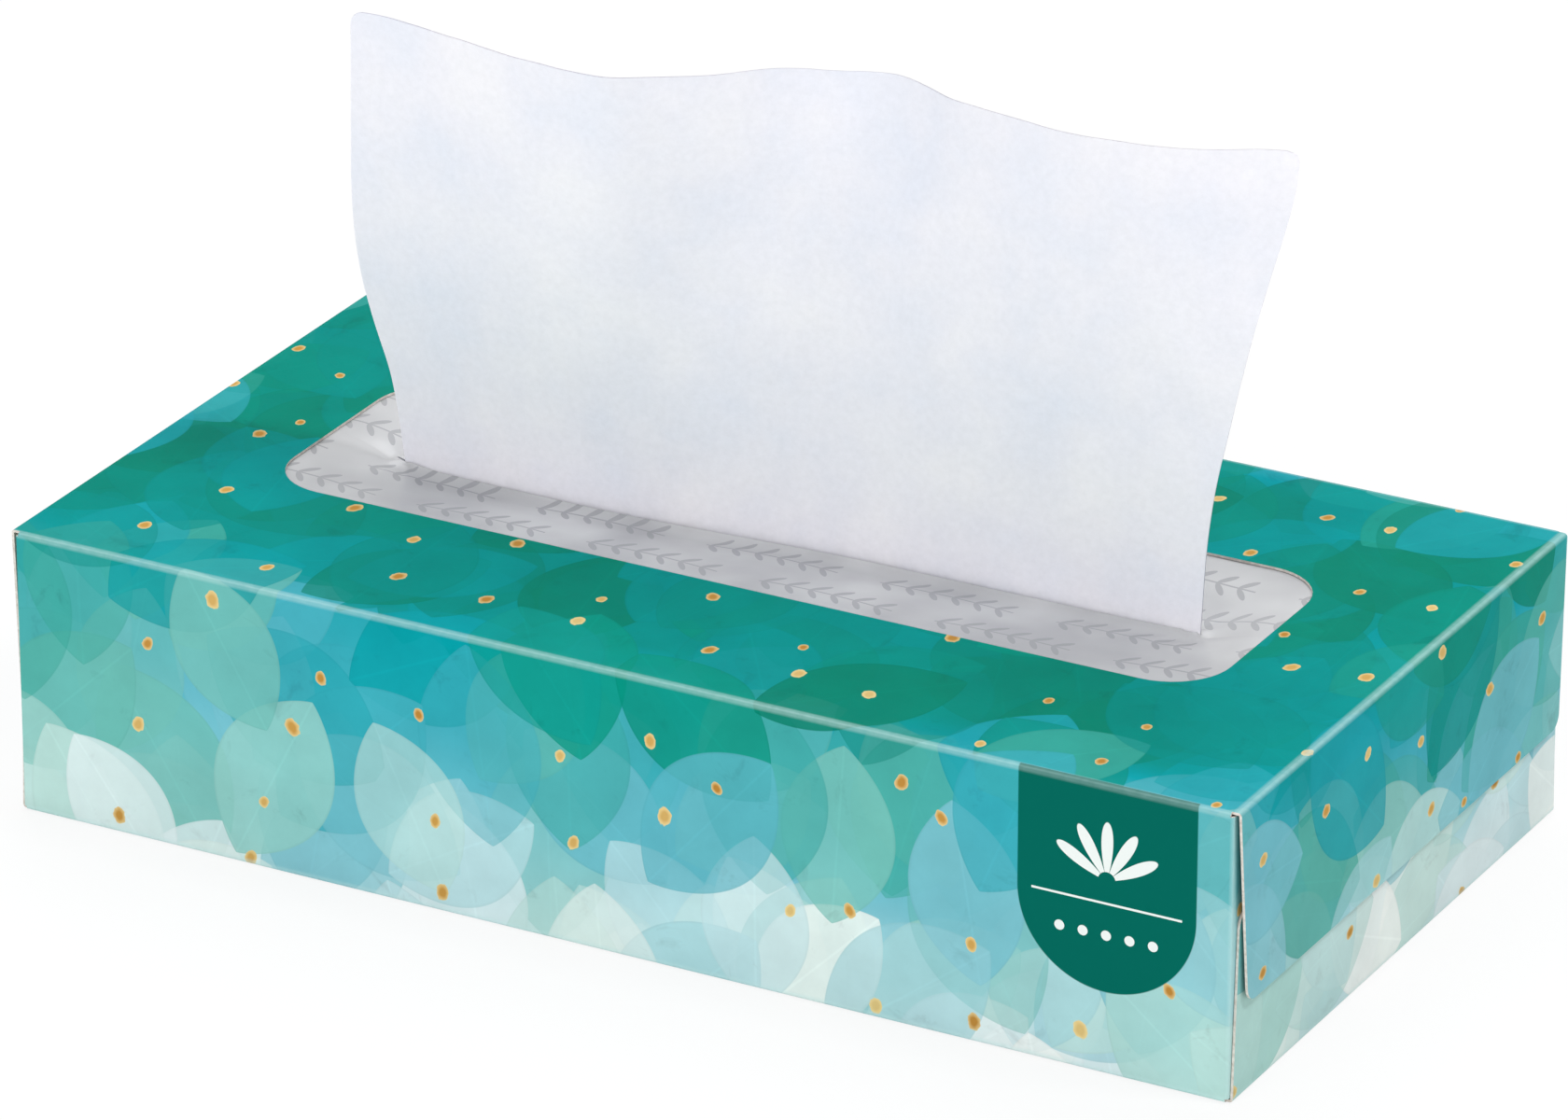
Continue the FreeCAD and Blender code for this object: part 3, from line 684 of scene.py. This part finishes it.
film_material = new_material("milky_polyethylene_film")
tree = film_material.node_tree
place = node(tree, "TexCoord", {}).outputs["Object"]
parts = node(tree, "SeparateXYZ", {0: place})
row = node(tree, "Math", {0: parts.outputs[1], 1: SPRAY_ROW}, operation="DIVIDE")
row_number = node(tree, "Math", {0: row}, operation="FLOOR")
up = node(tree, "Math", {0: row, 1: row_number}, operation="SUBTRACT")
up = node(tree, "Math", {0: up, 1: 0.5}, operation="SUBTRACT")
up = node(tree, "Math", {0: up, 1: SPRAY_ROW}, operation="MULTIPLY")
step = node(tree, "Math", {0: row_number, 1: 0.5 * SPRAY_PITCH}, operation="MULTIPLY")
along = node(tree, "Math", {0: parts.outputs[0], 1: step}, operation="ADD")
along = node(tree, "Math", {0: along, 1: SPRAY_PITCH}, operation="FLOORED_MODULO")
along = node(tree, "Math", {0: along, 1: SPRAY_PITCH / 2}, operation="SUBTRACT")
bend = node(tree, "Math", {0: along, 1: math.pi / SPRAY_PITCH}, operation="MULTIPLY")
bend = node(tree, "Math", {0: bend}, operation="COSINE")
up = node(tree, "Math", {0: bend, 1: -SPRAY_BOW, 2: up}, operation="MULTIPLY_ADD")
up = node(tree, "Math", {0: up, 1: SPRAY_BOW / 2}, operation="ADD")
aside = node(tree, "Math", {0: up}, operation="ABSOLUTE")
stem = node(tree, "Math", {0: aside, 1: STEM_HALF}, operation="LESS_THAN")
leaf_along = node(tree, "Math", {0: along, 1: SPRAY_LEAF_PITCH}, operation="FLOORED_MODULO")
leaf_along = node(tree, "Math", {0: leaf_along, 1: SPRAY_LEAF_PITCH / 2}, operation="SUBTRACT")
leaf_aside = node(tree, "Math", {0: aside, 1: SPRAY_LEAF_OFF_STEM}, operation="SUBTRACT")
off = node(tree, "CombineXYZ", {0: leaf_along, 1: leaf_aside})
off = node(tree, "VectorRotate", {"Vector": off, "Angle": -SPRAY_LEAN}, rotation_type="Z_AXIS")
leaf_shares = (1 / SPRAY_LEAF_HALF_LENGTH, 1 / SPRAY_LEAF_HALF_BREADTH, 0)
off = node(tree, "VectorMath", {0: off, 1: leaf_shares}, operation="MULTIPLY")
leaflet = node(tree, "VectorMath", {0: off}, operation="LENGTH").outputs["Value"]
leaflet = node(tree, "Math", {0: leaflet, 1: 1.0}, operation="LESS_THAN")
spray = node(tree, "Math", {0: stem, 1: leaflet}, operation="MAXIMUM")
length = node(tree, "Math", {0: along}, operation="ABSOLUTE")
length = node(tree, "Math", {0: length, 1: SPRAY_HALF}, operation="LESS_THAN")
spray = node(tree, "Math", {0: spray, 1: length}, operation="MULTIPLY")
haze = node(tree, "TexNoise", {"Vector": place, "Scale": 1 / HAZE_SIZE, "Detail": 2.0})
milk = node(tree, "ValToRGB", {"Fac": haze}, stops=((0.35, "#c6c7ca"), (0.65, "#e2e3e5")))
spray = node(tree, "Math", {0: spray, 1: SPRAY_INK}, operation="MULTIPLY")
tinted = node(tree, "Mix", {0: spray, 6: milk, 7: linear("#a3a6aa")}, data_type="RGBA").outputs[2]
ripple = node(tree, "TexNoise", {"Vector": place, "Scale": 1 / RIPPLE_SIZE, "Detail": 2.0})
ripple = node(tree, "Bump", {"Height": ripple, "Strength": 0.10, "Distance": RIPPLE_DEPTH})
surface = node(
    tree,
    "BsdfPrincipled",
    {"Base Color": tinted, "Roughness": 0.24, "IOR": 1.51, "Alpha": 0.62, "Normal": ripple},
)
node(tree, "OutputMaterial", {"Surface": surface})
film.data.materials.append(film_material)
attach(film, "root")
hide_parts("window_film")

# Clip of tissues. Some hundred two-ply sheets, folded in half into one another and cut as a block. Its
# folded edges show as fine bulging leaves along both long sides.
stack_low, stack_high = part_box("tissue_stack")
LEAVES = 36
LEAF_DRAW_IN = 0.0006

bpy.ops.object.select_all(action="DESELECT")
bpy.ops.mesh.primitive_cube_add(size=1, location=(stack_low + stack_high) / 2)
stack = bpy.context.object
stack.name = "tissue_clip"
bpy.ops.transform.resize(value=stack_high - stack_low)
bpy.ops.object.transform_apply(location=True, rotation=True, scale=True)
bpy.ops.object.mode_set(mode="EDIT")
middle_height = (stack_low.z + stack_high.z) / 2
pick("EDGE", lambda middle: abs(middle.z - middle_height) < TOUCH)
bpy.ops.mesh.subdivide(number_cuts=2 * LEAVES - 1)
leaf_height = (stack_high.z - stack_low.z) / LEAVES
# The valleys between the folded edges are drawn in.
pick("VERT", lambda spot: abs((spot.z - stack_low.z) / leaf_height % 1 - 0.5) > 0.4)
bpy.ops.transform.resize(
    value=(1, 1 - 2 * LEAF_DRAW_IN / (stack_high.y - stack_low.y), 1), center_override=(0, 0, 0)
)
bpy.ops.object.mode_set(mode="OBJECT")
bpy.ops.object.shade_smooth_by_angle(angle=math.radians(80))

# Creped soft tissue from bleached pulp, two plies: dull, cool white, cloudy in tone, with fine crepe ridges
# across the sheet. The ridges are drawn 1 mm apart, about twice the real ones, so that they show.
CREPE_PITCH = 0.0010
CREPE_DEPTH = 0.00012
FLUFF_SIZE = 0.0013
CLOUD_SIZE = 0.026
CLOUD_TONES = ((0.30, "#e6e8f2"), (0.5, "#edecf3"), (0.70, "#f3f1f5"))
tissue = new_material("creped_two_ply_tissue")
tree = tissue.node_tree
place = node(tree, "TexCoord", {}).outputs["Object"]
cloud = node(tree, "TexNoise", {"Vector": place, "Scale": 1 / CLOUD_SIZE, "Detail": 3.0, "Roughness": 0.55})
pulp = node(tree, "ValToRGB", {"Fac": cloud}, stops=CLOUD_TONES)
fluff = node(tree, "TexNoise", {"Vector": place, "Scale": 1 / FLUFF_SIZE, "Detail": 4.0, "Roughness": 0.65})
fluff_span = {"From Min": 0.3, "From Max": 0.7, "To Min": 0.965, "To Max": 1.02}
fluff_tone = node(tree, "MapRange", {"Value": fluff, **fluff_span})
pulp = node(tree, "VectorMath", {0: pulp, "Scale": fluff_tone}, operation="SCALE")
squeezed = node(tree, "Mapping", {"Vector": place, "Scale": (0.22, 0.22, 1)})
crepe = node(tree, "TexNoise", {"Vector": squeezed, "Scale": 1 / CREPE_PITCH, "Detail": 2.0})
relief = node(tree, "Math", {0: crepe, 1: fluff}, operation="ADD")
relief = node(tree, "Bump", {"Height": relief, "Strength": 0.22, "Distance": CREPE_DEPTH})
surface = node(
    tree,
    "BsdfPrincipled",
    {"Base Color": pulp, "Roughness": 0.95, "IOR": 1.45, "Specular IOR Level": 0.25, "Normal": relief},
)
node(tree, "OutputMaterial", {"Surface": surface})
stack.data.materials.append(tissue)
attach(stack, "root")
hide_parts("tissue_stack")

# The following sheet. One two-ply sheet that lies folded on the clip, round the raised sheet's tail.
next_low, next_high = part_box("next_tissue")
SHEET_WIDTH = 0.213
PLY_GAP = 0.00022
SOLID_SHEET = 0.0005
NEXT_FRONT = -0.032
NEXT_COLUMNS = 40
RUN_STEPS = 40
FOLD_STEPS = 12


def lying_path(front, rear, lower, upper, turned_at):
    """Points (y, z) along a sheet folded once: the lower run, the fold, and the upper run back."""
    radius = (upper - lower) / 2
    side = 1 if turned_at == "rear" else -1
    fold_y = rear - radius if turned_at == "rear" else front + radius
    start_y = front if turned_at == "rear" else rear
    path = [(start_y + (fold_y - start_y) * step / RUN_STEPS, lower) for step in range(RUN_STEPS)]
    for step in range(FOLD_STEPS + 1):
        angle = -QUARTER + math.pi * step / FOLD_STEPS
        path.append((fold_y + side * radius * math.cos(angle), lower + radius + radius * math.sin(angle)))
    return path


def make_sheet(name, rows):
    """A sheet of two plies that lie face to face. Each row is a list of points across the sheet."""
    points = []
    faces = []
    for outward in (-1, 1):
        first = len(points)
        for number, row in enumerate(rows):
            after = rows[min(number + 1, len(rows) - 1)]
            before = rows[max(number - 1, 0)]
            for place, point in enumerate(row):
                along = after[place] - before[place]
                across = row[min(place + 1, len(row) - 1)] - row[max(place - 1, 0)]
                lean = across.cross(along).normalized()
                points.append(point - outward * lean * PLY_GAP / 2)
        width = len(rows[0])
        for number in range(len(rows) - 1):
            for place in range(width - 1):
                corner = first + number * width + place
                loop = (corner, corner + 1, corner + width + 1, corner + width)
                faces.append(loop if outward == -1 else loop[::-1])
    mesh = bpy.data.meshes.new(name)
    mesh.from_pydata(points, [], faces)
    mesh.update()
    made = bpy.data.objects.new(name, mesh)
    bpy.context.scene.collection.objects.link(made)
    select_only(made)
    bpy.ops.object.shade_smooth()
    mesh.materials.append(tissue)
    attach(made, "root")
    return made


# The sheet lies in the middle of the thicker solid that it stands for.
next_lower = next_low.z + SOLID_SHEET / 2
next_upper = next_high.z - SOLID_SHEET / 2
path = lying_path(next_low.y, next_high.y, next_lower, next_upper, "rear")
run_end = path[-1][0]
for step in range(1, RUN_STEPS + 1):
    path.append((run_end + (NEXT_FRONT - run_end) * step / RUN_STEPS, next_upper))
rows = []
for y, z in path:
    row = []
    for place in range(NEXT_COLUMNS + 1):
        row.append(Vector((SHEET_WIDTH * (place / NEXT_COLUMNS - 0.5), y, z)))
    rows.append(row)
next_sheet = make_sheet("following_tissue", rows)
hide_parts("next_tissue")

# The raised sheet. One two-ply sheet whose tail lies in the fold of the following one. It turns up at the
# front, comes back to the slit, and stands in it by its own stiffness, fanned out and waved along its top
# edge.
raised_low, raised_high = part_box("raised_tissue")
TAIL_EDGE = 0.04915
TAIL_HEIGHT = 0.04342
TURN_FRONT = -0.03275
RETURN_HEIGHT = 0.04466
RETURN_STEPS = 16
NECK_BEND = 0.00165
NECK_STEPS = 8
STAND_FOOT = 0.04885
STAND_ROWS = 170
SHEET_COLUMNS = 150
FANNING = 1.12
SOFT_CORNER = 0.0025
# How far the standing sheet wanders from its smooth shape: pleats where the slit gathers it, a slow sway,
# small cockles all over, and an uneven top edge.
PLEAT_DEPTH = 0.00010
PLEAT_PITCH = 0.00105
PLEAT_HEIGHT = 0.010
SWAY = 0.0009
COCKLE = 0.00022
TOP_UNEVEN = 0.0005
# The standing sheet's side edges, as (share of its height, distance from the middle), from the slit up.
LEFT_EDGE = ((0, 0.0742), (0.17, 0.0763), (0.375, 0.0808), (0.56, 0.0818), (0.776, 0.0807), (1, 0.0790))
RIGHT_EDGE = ((0, 0.0766), (0.23, 0.0770), (0.41, 0.0790), (0.68, 0.0833), (0.9, 0.0875), (1, 0.0882))
# Its top edge seen from above, as (share of its width from the left, distance behind the slit).
TOP_WAVE = (
    (0, -0.0095),
    (0.09, -0.0107),
    (0.20, -0.0152),
    (0.31, -0.0155),
    (0.39, -0.0079),
    (0.48, 0.0042),
    (0.56, 0.0080),
    (0.66, 0.0026),
    (0.77, -0.0006),
    (0.88, 0.0008),
    (1, 0.0101),
)


def through(points, place):
    """The height at a place of a smooth curve through the points."""
    for number in range(len(points) - 1):
        (x0, y0), (x1, y1) = points[number], points[number + 1]
        if place <= x1 or number == len(points) - 2:
            break
    slopes = []
    for middle in (number, number + 1):
        (xa, ya), (xb, yb) = points[max(middle - 1, 0)], points[min(middle + 1, len(points) - 1)]
        slopes.append((yb - ya) / (xb - xa) * (x1 - x0))
    t = (place - x0) / (x1 - x0)
    return (
        y0 * (1 + 2 * t) * (1 - t) ** 2
        + slopes[0] * t * (1 - t) ** 2
        + y1 * t * t * (3 - 2 * t)
        + slopes[1] * t * t * (t - 1)
    )


def standing_point(share, rise):
    """A point of the standing sheet, by its share of the width and of the height."""
    left = -through(LEFT_EDGE, rise)
    right = through(RIGHT_EDGE, rise)
    x = left + (right - left) * share
    z = STAND_FOOT + rise * (raised_high.z - STAND_FOOT)
    z += TOP_UNEVEN * rise**6 * noise.noise(Vector((x / 0.011, 0, 9)))
    y = MOUTH_SHIFT + slit_drift(x) * (1 - rise) ** 2 + through(TOP_WAVE, share) * rise**FANNING
    gathered = math.exp(-(z - STAND_FOOT) / PLEAT_HEIGHT)
    y += PLEAT_DEPTH * gathered * math.sin(x / PLEAT_PITCH + 2.5 * noise.noise(Vector((x / 0.02, 0, 7))))
    y += SWAY * rise * noise.noise(Vector((x / 0.020, z / 0.035, 3)))
    y += COCKLE * ease(rise * 4) * noise.noise(Vector((x / 0.0065, z / 0.010, 5)))
    # The sheet's top corners are cut square and have gone soft, so that they are a little round.
    side = math.copysign(1, x)
    edge = right if side > 0 else -left
    from_side = SOFT_CORNER - (edge - abs(x))
    from_top = SOFT_CORNER - (1 - rise) * (raised_high.z - STAND_FOOT)
    if min(from_side, from_top) > 0:
        drawn_in = 1 - max(from_side, from_top) / math.hypot(from_side, from_top)
        x -= side * from_side * drawn_in
        z -= from_top * drawn_in
    return Vector((x, y, z))


path = lying_path(TURN_FRONT, TAIL_EDGE, TAIL_HEIGHT, RETURN_HEIGHT, "front")
run_end = path[-1][0]
run_goal = MOUTH_SHIFT - NECK_BEND
for step in range(1, RETURN_STEPS):
    path.append((run_end + (run_goal - run_end) * step / RETURN_STEPS, RETURN_HEIGHT))
for step in range(NECK_STEPS + 1):
    angle = QUARTER * step / NECK_STEPS
    path.append((run_goal + NECK_BEND * math.sin(angle), RETURN_HEIGHT + NECK_BEND * (1 - math.cos(angle))))
shares = [place / SHEET_COLUMNS for place in range(SHEET_COLUMNS + 1)]
rows = []
for y, z in path:
    gathered = 0.0
    if z > TAIL_HEIGHT + NECK_BEND / 4:
        gathered = ease((y - TURN_FRONT) / (MOUTH_SHIFT - TURN_FRONT))
    left = -SHEET_WIDTH / 2 - (LEFT_EDGE[0][1] - SHEET_WIDTH / 2) * gathered
    right = SHEET_WIDTH / 2 + (RIGHT_EDGE[0][1] - SHEET_WIDTH / 2) * gathered
    row = []
    for share in shares:
        x = left + (right - left) * share
        row.append(Vector((x, y + gathered * slit_drift(x), z)))
    rows.append(row)
for number in range(STAND_ROWS + 1):
    rows.append([standing_point(share, number / STAND_ROWS) for share in shares])
raised = make_sheet("standing_tissue", rows)
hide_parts("raised_tissue")

# Studio: a plain pale floor, four soft lamps, and a white surround that also lights the shaded sides.
FLOOR_SIZE = 24
FLOOR_DROP = 0.0002
FLOOR_WHITENESS = 0.86
SURROUND_LIGHT = 0.47


def backdrop_rays(tree):
    """1 for the rays that see or mirror the white background, and 0 for those that light the box."""
    rays = node(tree, "LightPath", {}).outputs
    seen = node(tree, "Math", {0: rays["Is Camera Ray"], 1: rays["Is Glossy Ray"]}, operation="MAXIMUM")
    return node(tree, "Math", {0: seen, 1: rays["Is Transmission Ray"]}, operation="MAXIMUM")


bpy.ops.object.select_all(action="DESELECT")
bpy.ops.mesh.primitive_plane_add(size=FLOOR_SIZE, location=(0, 0, -FLOOR_DROP))
floor = bpy.context.object
floor.name = "floor"
paper = new_material("white_background_paper")
tree = paper.node_tree
veil = node(tree, "Math", {0: backdrop_rays(tree), 1: FLOOR_WHITENESS}, operation="MULTIPLY")
matt = node(tree, "BsdfDiffuse", {"Color": linear("#fafafa")})
glow = node(tree, "Emission", {"Color": (1, 1, 1, 1), "Strength": 1.0})
node(tree, "OutputMaterial", {"Surface": node(tree, "MixShader", {0: veil, 1: matt, 2: glow})})
floor.data.materials.append(paper)

world = bpy.data.worlds.new("studio")
bpy.context.scene.world = world
world.use_nodes = True
tree = world.node_tree
tree.nodes.clear()
strength = node(tree, "MapRange", {"Value": backdrop_rays(tree), "To Min": SURROUND_LIGHT})
surround = node(tree, "Background", {"Color": (1, 1, 1, 1), "Strength": strength})
node(tree, "OutputWorld", {"Surface": surround})


def soft_lamp(name, place, size, power):
    """A square soft lamp that faces the box."""
    data = bpy.data.lights.new(name, "AREA")
    data.size = size
    data.energy = power
    lamp = bpy.data.objects.new(name, data)
    lamp.location = place
    lamp.rotation_euler = (Vector((0, 0, 0.04)) - Vector(place)).to_track_quat("-Z", "Y").to_euler()
    bpy.context.scene.collection.objects.link(lamp)


soft_lamp("overhead_rear", (-0.35, 0.75, 1.5), 1.1, 11)
soft_lamp("front_fill", (-0.10, -1.7, 1.10), 1.4, 8.5)
soft_lamp("front_low", (0.0, -1.9, 0.40), 1.2, 11)
soft_lamp("right_side", (1.1, 0.15, 1.7), 0.35, 12)

# Camera, fitted to the carton's corners in the photograph: 24 degrees down, turned 28.5 degrees.
CAMERA_PLACE = (0.74964, -1.38079, 0.75433)
CAMERA_DOWN = math.radians(24.26)
CAMERA_TURN = math.radians(28.53)
CAMERA_ROLL = math.radians(0.05)
CAMERA_LENS = 235.5
camera = bpy.data.objects.new("camera", bpy.data.cameras.new("camera"))
camera.data.lens = CAMERA_LENS
camera.data.sensor_width = 36
aim = Euler((QUARTER - CAMERA_DOWN, 0, CAMERA_TURN)).to_matrix() @ Matrix.Rotation(CAMERA_ROLL, 3, "Z")
camera.rotation_euler = aim.to_euler()
camera.location = CAMERA_PLACE
bpy.context.scene.collection.objects.link(camera)
bpy.context.scene.camera = camera
bpy.context.scene.view_settings.view_transform = "Standard"
